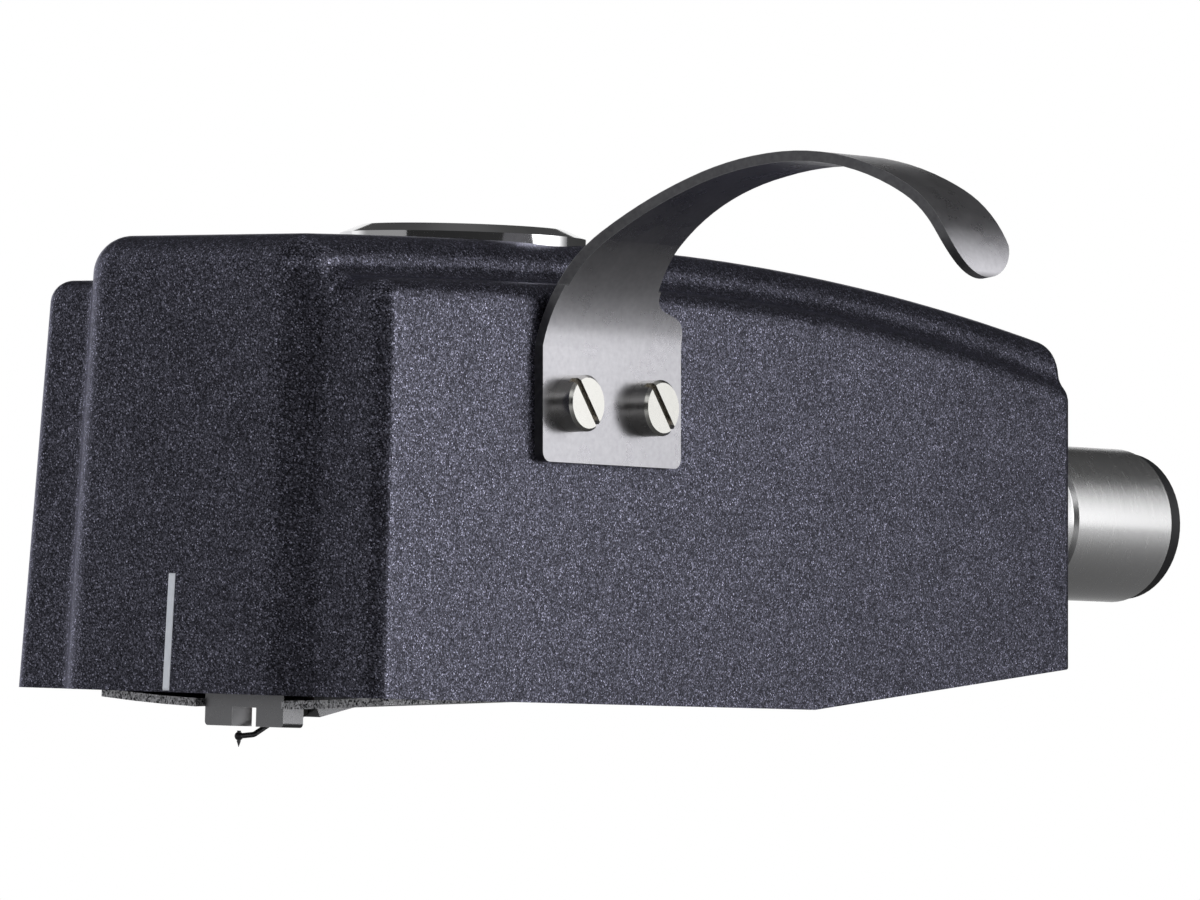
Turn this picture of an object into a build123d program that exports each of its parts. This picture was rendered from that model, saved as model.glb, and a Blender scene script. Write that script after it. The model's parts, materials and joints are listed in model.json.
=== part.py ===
from build123d import *
import os
from math import asin, atan2, cos, degrees, radians, sin, sqrt, tan

os.makedirs("parts", exist_ok=True)

# Frame: millimetres, +Z up, +X towards the tonearm. The origin is on the collar's axis,
# where the guide land that slides into the arm begins.

# Bayonet collar
collar_diameter = 8.0
land_length = 7.35
neck_length = 4.0
neck_diameter = 7.6
collar_bore = 5.8
spigot_diameter = 6.8
spigot_length = 9.0
wire_bore = 5.2
press_clearance = 0.02
locating_pin_diameter = 1.5
locating_pin_proud = 1.3
locating_pin_depth = 0.9
locating_pin_back = 1.4
locating_pin_chamfer = 0.2

# Contacts at the collar's end
contact_flange_diameter = 7.64
contact_flange_thickness = 1.12
contact_flange_chamfer = 0.2
contact_plug_length = 6.0
contact_diameter = 1.0
contact_circle = 3.9
contact_proud = 0.85
contact_chamfer = 0.2
contact_tail = 2.2

# Shell outline, measured forward from its rear face
shell_length = 55.5
nose_projection = 1.5
front_width = 24.8
rear_width = 14.6
nose_width = 16.4
rear_ledge = 0.975
floor_z = -10.0
rear_floor_z = -7.57
floor_kink = 21.7
apex_z = 12.12
apex_ahead = 33.25
front_arch_radius = 520.0
rear_arch_radius = 181.0
ledge_drop = 2.1
side_draft = 2.1
ridge_draft = 1.0
front_rake = 1.9
nose_corner = 2.1
shoulder_corner = 1.0
ridge_round = 1.9
ledge_round = 1.1
ridge_blend = 1.2
rear_round = 0.6

# Shell cavity
wall = 2.4
cavity_roof_z = 6.6
ridge_roof_z = 9.0
cavity_length = 33.0

# Chrome disc on the ridge
disc_diameter = 12.0
disc_rim = 0.85
disc_bevel_width = 1.0
disc_bevel_height = 0.42
disc_seat_depth = 0.5
disc_ahead = 37.9
disc_clearance = 0.05

# Finger lift: a plate on the shell's side, then a strip that arches outwards
lift_thickness = 0.5
lift_ahead = 38.45
lift_z = 4.2
plate_below = 2.8
plate_front = 5.3
plate_rear = 5.38
plate_notch_height = 3.5
plate_corner = 0.5
strip_root_front = 4.44
strip_root_rear = 2.9
strip_root_height = 5.6
strip_root_reach = 0.7
bend_start = 2.68
root_bend_radius = 6.46
root_bend_turn = 53.4
rise_bend_radius = 17.15
rise_bend_turn = 34.7
crest_bend_radius = 12.95
crest_bend_turn = 32.8
tip_bend_radius = 5.6
tip_bend_turn = 52.0
strip_flare_reach = 2.6
strip_flare_front = 3.7
strip_flare_rear = 2.2
strip_neck_front = 2.73
strip_neck_reach = 7.2
strip_waist_rear = 1.57
strip_waist_reach = 9.7
strip_end_front = 2.3
strip_end_rear = 2.5

# Slotted screws of the finger lift
lift_screw_spacing = 5.8
lift_screw_offset = -0.3
lift_screw_head = 2.7
lift_screw_head_height = 1.1
lift_screw_head_chamfer = 0.14
lift_screw_slot = 0.35
lift_screw_slot_depth = 0.5
lift_screw_slot_turn = 37.0
screw_shank = 1.6
lift_screw_length = 2.6
thread_clearance = 0.05

# Base cover: a thin bowed sheet that stands proud of the rim at the front
cover_thickness = 0.4
cover_bow_radius = 120.0
cover_front_back = 3.3
cover_front_z = -10.7
cover_tilt = 2.4
cover_clearance = 0.12
cover_corner = 0.25
cover_notch_width = 5.8
cover_notch_length = 12.2
cover_screw_back = 23.2
cover_screw_spacing = 10.4
cover_screw_head = 2.6
cover_screw_head_height = 0.3
cover_screw_length = 4.0
cover_post_diameter = 3.4

# Magnetic circuit
pole_back = 3.7
pole_width = 5.3
pole_thickness = 1.33
pole_bottom_z = -11.53
pole_notch_width = 1.62
pole_notch_height = 0.9
pole_corner = 0.2
magnet_length = 8.1
magnet_width = 6.4
magnet_bottom_z = -8.0
generator_top_z = 1.1
rear_plate_thickness = 1.3
rear_arm_width = 2.4
rear_arm_slope = 12.5
rear_arm_root = 1.2

# Moulded carrier of the magnetic circuit
carrier_cheek = 1.3
carrier_top = 1.5
carrier_bottom_z = -9.6
carrier_rear_wall = 1.3
carrier_flange = 6.0
carrier_fit = 0.05
carrier_screw_back = 3.5
carrier_screw_spacing = 6.6
carrier_screw_head = 2.5
carrier_screw_head_height = 1.0
carrier_screw_length = 4.0
carrier_post_diameter = 3.8

# Stylus assembly: the cantilever slopes down and forward through the pole notch
cantilever_slope = 27.0
cantilever_tip_slope = 5.0
cantilever_diameter = 0.26
cantilever_bend_back = 0.7
cantilever_bend_z = -11.91
cantilever_tip_length = 1.0
cantilever_holder = 0.42
armature_back = 2.2
armature_size = 1.0
armature_thickness = 0.3
winding_thickness = 0.12
winding_width = 0.42
damper_gap = 0.12
damper_diameter = 1.3
damper_thickness = 0.5
damper_seat_gap = 0.06
wire_diameter = 0.2
wire_clearance = 0.1
wire_anchor = 0.8
stylus_tip_z = -12.52
stylus_diameter = 0.2
stylus_cone = 0.28
stylus_point = 0.01
stylus_above = 0.05

# Terminals and leads
terminal_board = 1.0
terminal_board_width = 8.0
terminal_board_height = 3.6
terminal_z = -1.0
terminal_count = 4
terminal_pitch = 1.8
terminal_diameter = 0.8
terminal_proud = 1.8
lead_diameter = 0.7
lead_straight = 4.5
lead_gather = 5.5
lead_bend_share = 0.45

# Places that follow from the sizes above
shell_rear = -neck_length
front_x = shell_rear - shell_length
nose_x = front_x - nose_projection
apex_x = shell_rear - apex_ahead
kink_x = shell_rear - floor_kink
ridge_rear_width = rear_width - 2 * rear_ledge
cavity_rear = front_x + cavity_length
side_taper = degrees(atan2((front_width - rear_width) / 2, shell_length))
pole_x = front_x + pole_back
magnet_x = pole_x + pole_thickness
rear_plate_x = magnet_x + magnet_length
carrier_wall_x = rear_plate_x + rear_plate_thickness
terminal_x = carrier_wall_x + carrier_rear_wall
carrier_screw_x = terminal_x + carrier_screw_back
carrier_width = magnet_width + 2 * (carrier_cheek + carrier_fit)
cover_front_x = front_x + cover_front_back
contact_x = land_length - contact_plug_length - contact_tail
RISE = (Align.CENTER, Align.CENTER, Align.MIN)


def rod(start, end, diameter, y=0.0, z=0.0):
    """Round rod along X."""
    return Pos(start, y, z) * Rot(0, 90, 0) * Cylinder(diameter / 2, end - start, align=RISE)


def upright(x, y, bottom, top, diameter):
    """Round post along Z."""
    return Pos(x, y, bottom) * Cylinder(diameter / 2, top - bottom, align=RISE)


def slab(x0, x1, width, z0, z1):
    """Box centred on Y = 0 between two X and two Z limits."""
    middle = ((x0 + x1) / 2, 0, (z0 + z1) / 2)
    return Pos(*middle) * Box(x1 - x0, width, z1 - z0)


def mirrored(x, spacing):
    """The two places either side of the middle plane."""
    return [(x, -spacing / 2), (x, spacing / 2)]


# Shell

def half_width(x, inset=0.0):
    """Half width of the shell at its rim."""
    return front_width / 2 - inset + (front_x - x) * tan(radians(side_taper))


def drafted_block(start, front_half, rear_half, height, draft):
    """Block on the rim plane with drafted sides: a trapezoid that runs on at both ends."""
    run_on = 2 * height * tan(radians(draft)) + neck_length
    slope = (rear_half - front_half) / (shell_rear - start)
    first, last = start - run_on, shell_rear + run_on
    first_half, last_half = front_half - slope * run_on, rear_half + slope * run_on
    corners = [(first, -first_half), (last, -last_half), (last, last_half), (first, first_half)]
    base = make_face(Polyline(*corners, close=True))
    return extrude(Plane.XY.offset(floor_z) * base, height, taper=draft)


def crown_z(x, drop):
    """Height of the arched top, lowered by drop."""
    radius = front_arch_radius if x < apex_x else rear_arch_radius
    return apex_z - drop - radius + sqrt(radius**2 - (x - apex_x) ** 2)


def side_profile(start, drop):
    """Everything inside the shell's side view behind a raked front, with the top lowered by drop."""
    front_top = start + (crown_z(start, drop) - floor_z) * tan(radians(front_rake))
    top = {x: (x, crown_z(x, drop)) for x in (front_top, apex_x, shell_rear)}
    front_middle = (front_top + apex_x) / 2
    rear_middle = (apex_x + shell_rear) / 2
    outline = [
        Polyline((start, floor_z), (kink_x, floor_z), (shell_rear, rear_floor_z), top[shell_rear]),
        ThreePointArc(top[shell_rear], (rear_middle, crown_z(rear_middle, drop)), top[apex_x]),
        ThreePointArc(top[apex_x], (front_middle, crown_z(front_middle, drop)), top[front_top]),
        Line(top[front_top], (start, floor_z)),
    ]
    return extrude(Plane.XZ * make_face(outline), front_width, both=True)


def rounded_block(block, start, corner, edge_round):
    """Rounds a block's front corners, then the edge round its top."""
    upright_edges = [e for e in block.edges() if abs((e @ 1 - e @ 0).Z) > abs(floor_z)]
    front_corners = [e for e in upright_edges if e.center().X < start + corner + nose_projection]
    block = fillet(front_corners, corner)
    crown = ShapeList(f for f in block.faces() if f.normal_at().Z > 0.9)
    across = crown.edges().filter_by(Axis.Y)
    front_edge = across.sort_by(Axis.X)[0]
    along = [e for e in crown.edges() if e not in across]
    return fillet(along + [front_edge], edge_round)


def shell_body():
    height = 2 * (apex_z - floor_z)
    shoulders = drafted_block(front_x, front_width / 2, rear_width / 2, height, side_draft)
    shoulders = rounded_block(shoulders & side_profile(front_x, ledge_drop), front_x, shoulder_corner, ledge_round)
    ridge = drafted_block(nose_x, nose_width / 2, ridge_rear_width / 2, height, ridge_draft)
    ridge = rounded_block(ridge & side_profile(nose_x, 0), nose_x, nose_corner, ridge_round)
    body = shoulders + ridge
    joins = new_edges(shoulders, ridge, combined=body)
    blended = [e for e in joins if floor_z < e.center().Z and e.center().X < shell_rear - ridge_blend]
    body = fillet(blended, ridge_blend)
    rear = body.faces().sort_by(Axis.X)[-1]
    return fillet(rear.edges(), rear_round)


def cavity():
    """Room inside the shell, open at the rim."""
    wide_height = cavity_roof_z - floor_z
    high_height = ridge_roof_z - floor_z
    wide = drafted_block(front_x, front_width / 2 - wall, rear_width / 2 - wall, wide_height, side_draft)
    high = drafted_block(nose_x, nose_width / 2 - wall, ridge_rear_width / 2 - wall, high_height, ridge_draft)
    wide &= slab(front_x + wall, cavity_rear, front_width, floor_z, apex_z)
    high &= slab(nose_x + wall, cavity_rear, front_width, floor_z, apex_z)
    return wide + high


def shell():
    body = shell_body() - cavity()
    for x, y in mirrored(carrier_screw_x, carrier_screw_spacing):
        foot = generator_top_z + carrier_top
        body += upright(x, y, foot, ridge_roof_z + wall / 2, carrier_post_diameter)
        body -= upright(x, y, foot, foot + carrier_screw_length, screw_shank + thread_clearance)
    for x, y in mirrored(cover_front_x + cover_screw_back, cover_screw_spacing):
        body += upright(x, y, floor_z, cavity_roof_z + wall / 2, cover_post_diameter) - under_cover()
    for frame in cover_screw_frames():
        body -= frame * upright(0, 0, 0, cover_screw_length + wall, screw_shank + thread_clearance)
    body -= upright(shell_rear - disc_ahead, 0, disc_z(), apex_z + wall, disc_diameter + disc_clearance)
    body -= rod(shell_rear - spigot_length, shell_rear, spigot_diameter + press_clearance)
    body -= rod(cavity_rear, shell_rear, wire_bore)
    for place in lift_screw_places():
        hole = Cylinder((screw_shank + thread_clearance) / 2, 2 * lift_screw_length)
        body -= lift_side() * place * hole
    return body


def disc_z():
    return apex_z - disc_seat_depth


def top_disc():
    """Flat disc with a wide bevel round its top."""
    rim = disc_diameter / 2
    top = disc_rim + disc_bevel_height
    outline = Polyline((0, 0), (rim, 0), (rim, disc_rim), (rim - disc_bevel_width, top), (0, top), close=True)
    disc = revolve(Plane.XZ * make_face(outline), Axis.Z)
    return Pos(shell_rear - disc_ahead, 0, disc_z()) * disc


# Finger lift

def lift_axes():
    """A point on the shell's near side, the way along it, straight out of it, and up it."""
    along = Vector(1, 0, 0).rotate(Axis.Z, side_taper)
    level = Vector(0, -1, 0).rotate(Axis.Z, side_taper)
    lean = radians(side_draft)
    out = level * cos(lean) + Vector(0, 0, 1) * sin(lean)
    up = Vector(0, 0, 1) * cos(lean) - level * sin(lean)
    x = shell_rear - lift_ahead
    foot = Vector(x, -half_width(x), floor_z)
    return foot + up * ((lift_z - floor_z) / cos(lean)), along, out, up


def lift_side():
    """Plane on the shell's side: x along the shell, y up it, z out of it."""
    origin, along, out, up = lift_axes()
    return Plane(origin, x_dir=along, z_dir=out)


def lift_section():
    """Plane of the bend: x out of the shell, y up."""
    origin, along, out, up = lift_axes()
    return Plane(origin, x_dir=out, z_dir=along * -1)


def lift_plan():
    """Plane seen from above: x out of the shell, y along it."""
    origin, along, out, up = lift_axes()
    return Plane(origin, x_dir=out, z_dir=up)


def lift_path():
    """Face of the strip that lies on the shell, followed up and over the arch."""
    bends = (
        (root_bend_radius, root_bend_turn),
        (rise_bend_radius, rise_bend_turn),
        (crest_bend_radius, crest_bend_turn),
        (tip_bend_radius, tip_bend_turn),
    )
    path = [Line((0, -plate_below), (0, bend_start))]
    for radius, turn in bends:
        last = path[-1]
        path.append(JernArc(last @ 1, last % 1, radius + lift_thickness / 2, -turn))
    return Wire(path)


def lift_span():
    """A length greater than the lift's reach and height."""
    return lift_path().length


def bent_strip():
    """The strip's bent section, as wide as the plate."""
    section = make_face(offset(lift_path(), lift_thickness, side=Side.RIGHT))
    return extrude(lift_section() * section, plate_front + plate_rear, both=True)


def plate_outline():
    """Limits of the plate and the strip's root, seen on the shell's side."""
    front_root = (-strip_root_front, strip_root_height)
    rear_root = (strip_root_rear, strip_root_height)
    rear_corner = (plate_rear, plate_notch_height)
    down = (0, -1)
    outline = [
        Polyline(rear_root, front_root, (-plate_front, bend_start), (-plate_front, -plate_below)),
        Polyline((-plate_front, -plate_below), (plate_rear, -plate_below), rear_corner),
        Spline(rear_root, rear_corner, tangents=[down, down]),
    ]
    face = make_face(outline)
    low = face.vertices().group_by(Axis.Y)[0]
    return extrude(lift_side() * fillet(low, plate_corner), strip_root_reach + lift_thickness)


def strip_outline():
    """Limits of the arched strip, seen from above: it narrows to a waist and widens to the tip."""
    tip_reach = (lift_path() @ 1).X + lift_thickness
    front_root = (strip_root_reach, -strip_root_front)
    front_neck = (strip_neck_reach, -strip_neck_front)
    front_tip = (tip_reach, -strip_end_front)
    rear_root = (strip_root_reach, strip_root_rear)
    rear_waist = (strip_waist_reach, strip_waist_rear)
    rear_tip = (tip_reach, strip_end_rear)
    outline = [
        Polyline(rear_root, (0, strip_root_rear), (0, -strip_root_front), front_root),
        ThreePointArc(front_root, (strip_flare_reach, -strip_flare_front), front_neck),
        TangentArc(front_tip, front_neck, tangent=(-1, 0)),
        Line(front_tip, rear_tip),
        TangentArc(rear_waist, rear_tip, tangent=(1, 0)),
        ThreePointArc(rear_waist, (strip_flare_reach, strip_flare_rear), rear_root),
    ]
    return extrude(lift_plan() * make_face(outline), lift_span())


def lift_screw_places():
    """The two screws' places on the shell's side."""
    return [Pos(lift_screw_offset + turn * lift_screw_spacing / 2, 0, 0) for turn in (-1, 1)]


def beyond_tip():
    """What is cut off the strip to leave its free end round."""
    origin, along, out, up = lift_axes()
    heading = lift_path() % 1
    inward = out * -heading.X - up * heading.Y
    end = lift_section().from_local_coords(lift_path() @ 1)
    half = (strip_end_front + strip_end_rear) / 2
    middle = (strip_end_rear - strip_end_front) / 2
    square = Pos(middle, half / 2) * Rectangle(4 * half, half)
    waste = square - Pos(middle, half) * Circle(half)
    return extrude(Plane(end, x_dir=along, z_dir=along.cross(inward)) * waste, 4 * lift_thickness, both=True)


def finger_lift():
    bent = bent_strip()
    lift = (bent & plate_outline()) + (bent & strip_outline()) - beyond_tip()
    for place in lift_screw_places():
        hole = Cylinder((screw_shank + thread_clearance) / 2, 4 * lift_thickness)
        lift -= lift_side() * place * hole
    return lift


def lift_screw():
    """Slotted cheese-head screw, its head standing on z = 0."""
    head = Cylinder(lift_screw_head / 2, lift_screw_head_height, align=RISE)
    head = chamfer(head.faces().sort_by(Axis.Z)[-1].edges(), lift_screw_head_chamfer)
    slot = Box(lift_screw_slot, 2 * lift_screw_head, 2 * lift_screw_slot_depth)
    head -= Pos(0, 0, lift_screw_head_height) * Rot(0, 0, lift_screw_slot_turn) * slot
    shank_length = lift_thickness + lift_screw_length
    return head + Pos(0, 0, -shank_length) * Cylinder(screw_shank / 2, shank_length, align=RISE)


def finger_lift_screws():
    seat = Pos(0, 0, lift_thickness)
    return Compound([lift_side() * place * seat * lift_screw() for place in lift_screw_places()])


# Collar and contacts

def connector_barrel():
    step = (collar_diameter - neck_diameter) / 2
    bore = collar_bore / 2
    profile = [
        (shell_rear - spigot_length, wire_bore / 2),
        (shell_rear - spigot_length, spigot_diameter / 2),
        (shell_rear, spigot_diameter / 2),
        (shell_rear, neck_diameter / 2),
        (-step, neck_diameter / 2),
        (0, collar_diameter / 2),
        (land_length, collar_diameter / 2),
        (land_length, bore),
        (land_length - contact_plug_length, bore),
        (land_length - contact_plug_length, wire_bore / 2),
    ]
    barrel = revolve(make_face(Polyline(*profile, close=True)), Axis.X)
    hole = locating_pin_diameter + 2 * press_clearance
    return barrel - upright(-locating_pin_back, 0, 0, collar_diameter, hole)


def locating_pin():
    surface = neck_diameter / 2
    pin = upright(
        -locating_pin_back, 0, surface - locating_pin_depth, surface + locating_pin_proud, locating_pin_diameter
    )
    return chamfer(pin.faces().sort_by(Axis.Z)[-1].edges(), locating_pin_chamfer)


def contact_places():
    """The four contacts, on a circle round the collar's axis."""
    spread = contact_circle / 2 / sqrt(2)
    return [(-spread, -spread), (-spread, spread), (spread, spread), (spread, -spread)]


def contact_carrier():
    plug = rod(land_length - contact_plug_length, land_length, collar_bore - 2 * press_clearance)
    flange = rod(land_length, land_length + contact_flange_thickness, contact_flange_diameter)
    flange = chamfer(flange.faces().sort_by(Axis.X)[-1].edges(), contact_flange_chamfer)
    carrier = plug + flange
    for y, z in contact_places():
        carrier -= rod(contact_x, 2 * land_length, contact_diameter + 2 * press_clearance, y, z)
    return carrier


def contact_pins():
    end = land_length + contact_flange_thickness + contact_proud
    pins = []
    for y, z in contact_places():
        pin = rod(contact_x, end, contact_diameter, y, z)
        pins.append(chamfer(pin.faces().sort_by(Axis.X)[-1].edges(), contact_chamfer))
    return Compound(pins)


# Base cover

def bowed(top_offset, bottom_z=None):
    """Solid bounded above by the cover's bow, raised by top_offset, and below by the bow or a level."""
    reach = front_width / 2
    top_radius = cover_bow_radius - top_offset
    sag = top_radius - sqrt(top_radius**2 - reach**2)
    top = ThreePointArc((-reach, top_offset + sag), (0, top_offset), (reach, top_offset + sag))
    if bottom_z is None:
        low = cover_bow_radius - sqrt(cover_bow_radius**2 - reach**2)
        bottom = ThreePointArc((reach, low), (0, 0), (-reach, low))
    else:
        bottom = Line((reach, bottom_z), (-reach, bottom_z))
    sides = [Line(top @ 1, bottom @ 0), Line(bottom @ 1, top @ 0)]
    section = Plane.YZ * make_face([top, bottom] + sides)
    return cover_frame() * extrude(section, shell_length)


def cover_frame():
    """Frame at the middle of the cover's front edge, tilted with the cover."""
    return Pos(cover_front_x, 0, cover_front_z) * Rot(0, -cover_tilt, 0)


def cover_screw_frames():
    """Frames on the cover's lower face, square to its bow, one at each screw."""
    swing = degrees(asin(cover_screw_spacing / 2 / cover_bow_radius))
    bow_axis = cover_frame() * Pos(cover_screw_back, 0, cover_bow_radius)
    return [bow_axis * Rot(turn, 0, 0) * Pos(0, 0, -cover_bow_radius) for turn in (-swing, swing)]


def under_cover():
    """Everything below the cover's upper face."""
    return bowed(cover_thickness, floor_z)


def base_cover():
    inset = wall + cover_clearance
    end = cavity_rear - cover_clearance
    front_half = half_width(cover_front_x, inset)
    rear_half = half_width(end, inset)
    corners = [(cover_front_x, -front_half), (end, -rear_half), (end, rear_half), (cover_front_x, front_half)]
    outline = make_face(Polyline(*corners, close=True))
    outline = fillet(outline.vertices(), cover_corner)
    cover = bowed(cover_thickness) & extrude(outline, 2 * floor_z, both=True)
    cover -= slab(nose_x, cover_front_x + cover_notch_length, cover_notch_width, 2 * floor_z, apex_z)
    for frame in cover_screw_frames():
        cover -= frame * Cylinder(screw_shank / 2 + thread_clearance, 4 * cover_thickness)
    return cover


def base_cover_screws():
    head = upright(0, 0, -cover_screw_head_height, 0, cover_screw_head)
    shank = upright(0, 0, 0, cover_screw_length, screw_shank)
    return Compound([frame * (head + shank) for frame in cover_screw_frames()])


# Magnetic circuit and its carrier

def front_pole_plate():
    plate = slab(pole_x, magnet_x, pole_width, pole_bottom_z, generator_top_z)
    corners = plate.edges().filter_by(Axis.X).group_by(Axis.Z)[0]
    plate = fillet(corners, pole_corner)
    notch_top = pole_bottom_z + pole_notch_height
    return plate - slab(pole_x, magnet_x, pole_notch_width, pole_bottom_z, notch_top)


def magnet():
    return slab(magnet_x, rear_plate_x, magnet_width, magnet_bottom_z, generator_top_z)


def cantilever_point(back):
    """Point on the cantilever's axis, a distance back from its bend."""
    slope = radians(cantilever_slope)
    x = pole_x + cantilever_bend_back + back * cos(slope)
    return Vector(x, 0, cantilever_bend_z + back * sin(slope))


def cantilever_frame(back):
    """Frame on the cantilever's axis: z runs back along it, y stays across the shell."""
    slope = radians(cantilever_slope)
    return Plane(cantilever_point(back), x_dir=(sin(slope), 0, -cos(slope)), z_dir=(cos(slope), 0, sin(slope)))


def damper_back():
    winding = armature_thickness / 2 + 2 * winding_thickness
    return armature_back + winding + damper_gap


def rear_pole():
    plate = slab(rear_plate_x, carrier_wall_x, pole_width, carrier_bottom_z, generator_top_z)
    face = cantilever_frame(damper_back() + damper_thickness + damper_seat_gap)
    half = damper_diameter / 2
    low = (face * Pos(half, 0, 0)).position
    high = (face * Pos(-half, 0, 0)).position
    end_z = low.Z + (carrier_wall_x - low.X) * tan(radians(rear_arm_slope))
    corners = [(low.X, low.Z), (carrier_wall_x, end_z), (carrier_wall_x, end_z + rear_arm_root), (high.X, high.Z)]
    arm = extrude(Plane.XZ * make_face(Polyline(*corners, close=True)), rear_arm_width / 2, both=True)
    anchor = Cylinder(wire_diameter / 2 + wire_clearance, 2 * wire_anchor)
    return plate + arm - face * anchor


def generator_carrier():
    flange_end = terminal_x + carrier_flange
    body = slab(magnet_x, terminal_x, carrier_width, carrier_bottom_z, generator_top_z + carrier_top)
    body -= slab(magnet_x, carrier_wall_x, magnet_width + 2 * carrier_fit, carrier_bottom_z, generator_top_z)
    body += slab(terminal_x, flange_end, carrier_width, generator_top_z, generator_top_z + carrier_top)
    body = fillet(body.edges().filter_by(Axis.Z).group_by(Axis.X)[-1], carrier_cheek)
    for x, y in mirrored(carrier_screw_x, carrier_screw_spacing):
        body -= upright(x, y, floor_z, apex_z, screw_shank + 2 * thread_clearance)
    return body


def carrier_screws():
    screws = []
    for x, y in mirrored(carrier_screw_x, carrier_screw_spacing):
        seat = generator_top_z
        head = upright(x, y, seat - carrier_screw_head_height, seat, carrier_screw_head)
        slot = Pos(x, y, seat - carrier_screw_head_height) * Box(lift_screw_slot, 2 * carrier_screw_head, 1)
        shank = upright(x, y, seat, seat + carrier_top + carrier_screw_length, screw_shank)
        screws.append(head - slot + shank)
    return Compound(screws)


# Stylus assembly

def armature_core():
    return cantilever_frame(armature_back) * Box(armature_size, armature_size, armature_thickness)


def winding(size, depth, turn):
    """Band round the armature: a square ring of the winding's thickness."""
    outer = Box(size + 2 * winding_thickness, winding_width, depth + 2 * winding_thickness)
    inner = Box(size, winding_width, depth)
    return cantilever_frame(armature_back) * Rot(0, 0, turn) * (outer - inner)


def coils():
    first = winding(armature_size, armature_thickness, 0)
    second = winding(armature_size, armature_thickness + 2 * winding_thickness, 90)
    return Compound([first, second])


def damper():
    ring = Cylinder(damper_diameter / 2, damper_thickness, align=RISE)
    ring -= Cylinder(wire_diameter / 2 + press_clearance, 2 * damper_thickness)
    return cantilever_frame(damper_back()) * ring


def suspension_wire():
    start = damper_back() - damper_gap / 2
    length = damper_gap / 2 + damper_thickness + damper_seat_gap + wire_anchor - wire_clearance
    return cantilever_frame(start) * Cylinder(wire_diameter / 2, length, align=RISE)


def tip_point():
    """Middle of the cantilever's end, where the stylus stands."""
    slope = radians(cantilever_tip_slope)
    return cantilever_point(0) + Vector(-cos(slope), 0, -sin(slope)) * cantilever_tip_length


def cantilever():
    root = armature_back - armature_thickness / 2 - 2 * winding_thickness
    start = cantilever_point(root)
    bend = cantilever_point(0)
    path = FilletPolyline(start, bend, tip_point(), radius=cantilever_tip_length / 2)
    tube = sweep(cantilever_frame(root) * Circle(cantilever_diameter / 2), path)
    holder = Pos(tip_point()) * Sphere(cantilever_holder / 2)
    socket = upright(tip_point().X, 0, 2 * floor_z, 0, stylus_diameter + press_clearance)
    return tube + holder - socket


def stylus():
    tip = tip_point()
    shoulder = stylus_tip_z + stylus_cone
    shank = upright(tip.X, 0, shoulder, tip.Z + cantilever_holder / 2 + stylus_above, stylus_diameter)
    point = Pos(tip.X, 0, stylus_tip_z) * Cone(stylus_point / 2, stylus_diameter / 2, stylus_cone, align=RISE)
    return shank + point


# Terminals and leads

def terminal_rows():
    return [(index - (terminal_count - 1) / 2) * terminal_pitch for index in range(terminal_count)]


def terminal_strip():
    top = generator_top_z
    board = slab(terminal_x, terminal_x + terminal_board, terminal_board_width, top - terminal_board_height, top)
    for y in terminal_rows():
        board -= rod(terminal_x, terminal_x + terminal_board, terminal_diameter + press_clearance, y, terminal_z)
    return board


def terminal_pins():
    end = terminal_x + terminal_board + terminal_proud
    return Compound([rod(terminal_x, end, terminal_diameter, y, terminal_z) for y in terminal_rows()])


def lead_wires():
    """Leads from the terminals, gathered into the collar's bore."""
    start_x = terminal_x + terminal_board + terminal_proud
    leads = []
    for y, place in zip(terminal_rows(), contact_places()):
        start = Vector(start_x, y, terminal_z)
        spread = start + Vector(lead_straight, 0, 0)
        gathered = Vector(spread.X + lead_gather, *place)
        end = Vector(contact_x, *place)
        turn = radians((gathered - spread).get_angle(Vector(1, 0, 0)))
        bend = lead_bend_share * lead_straight / tan(turn / 2)
        path = FilletPolyline(start, spread, gathered, end, radius=bend)
        section = Plane(start, z_dir=(1, 0, 0)) * Circle(lead_diameter / 2)
        leads.append(sweep(section, path))
    return Compound(leads)


SUB_PARTS = (
    shell,
    top_disc,
    finger_lift,
    finger_lift_screws,
    connector_barrel,
    locating_pin,
    contact_carrier,
    contact_pins,
    base_cover,
    base_cover_screws,
    front_pole_plate,
    magnet,
    rear_pole,
    generator_carrier,
    carrier_screws,
    armature_core,
    coils,
    damper,
    suspension_wire,
    cantilever,
    stylus,
    terminal_strip,
    terminal_pins,
    lead_wires,
)

for sub_part in SUB_PARTS:
    export_step(sub_part(), f"parts/{sub_part.__name__}.step")
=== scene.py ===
import json
from collections import namedtuple
from math import cos, pi, radians, sin, tan

import bmesh
import bpy
from mathutils import Matrix, Vector


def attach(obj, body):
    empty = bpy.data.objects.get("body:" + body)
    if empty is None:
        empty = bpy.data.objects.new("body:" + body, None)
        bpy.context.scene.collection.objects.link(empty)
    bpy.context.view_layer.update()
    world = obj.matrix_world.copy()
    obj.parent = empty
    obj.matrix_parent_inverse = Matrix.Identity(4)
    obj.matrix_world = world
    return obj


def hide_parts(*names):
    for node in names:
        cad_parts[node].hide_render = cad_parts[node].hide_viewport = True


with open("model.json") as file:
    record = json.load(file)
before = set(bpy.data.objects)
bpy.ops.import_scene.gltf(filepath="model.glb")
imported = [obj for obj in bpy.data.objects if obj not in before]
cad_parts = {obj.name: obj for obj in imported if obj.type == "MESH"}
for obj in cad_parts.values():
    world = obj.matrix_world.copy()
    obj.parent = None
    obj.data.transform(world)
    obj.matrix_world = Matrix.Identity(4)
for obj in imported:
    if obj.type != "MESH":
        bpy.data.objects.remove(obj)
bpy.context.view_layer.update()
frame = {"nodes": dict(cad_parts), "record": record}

MM = 0.001
UM = MM / 1000

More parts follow.
